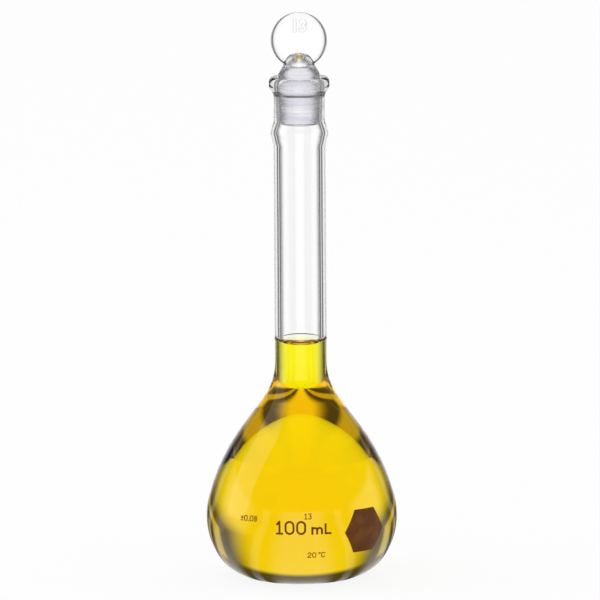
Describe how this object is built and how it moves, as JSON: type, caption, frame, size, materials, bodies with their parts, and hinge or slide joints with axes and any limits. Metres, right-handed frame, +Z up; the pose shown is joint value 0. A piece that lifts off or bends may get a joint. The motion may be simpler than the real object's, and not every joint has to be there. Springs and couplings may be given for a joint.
{
  "type": "volumetric flask",
  "caption": "Pear-shaped glass volumetric flask with a long narrow neck, ground glass stopper and fired-on marks, filled with yellow solution to its ring mark.",
  "frame": {"origin": "on the flask's axis, on the surface that its base ring stands on", "axes": "+Z up along the neck, -Y to the front with the capacity figure, +X to the right seen from the front"},
  "size_m": [0.06, 0.0601, 0.1797],
  "materials": {
    "clear_glass": "clear, fire-polished borosilicate, with a fine ground taper in the socket and on the stopper",
    "yellow_solution": "clear yellow watery solution",
    "brown_enamel": "thin fired-on brown enamel, satin"
  },
  "bodies": {
    "flask": {"flask_body": "clear_glass", "solution": "yellow_solution", "graduation_ring": "brown_enamel", "marking_spot": "brown_enamel", "capacity_mark": "brown_enamel", "joint_size_mark": "brown_enamel", "temperature_mark": "brown_enamel", "tolerance_mark": "brown_enamel"},
    "stopper": {"stopper": "clear_glass"}
  },
  "joints": [
    {"name": "stopper_lift", "type": "slide", "parent": "flask", "child": "stopper", "axis": [0, 0, 1], "range_m": [0, 0.03]}
  ]
}
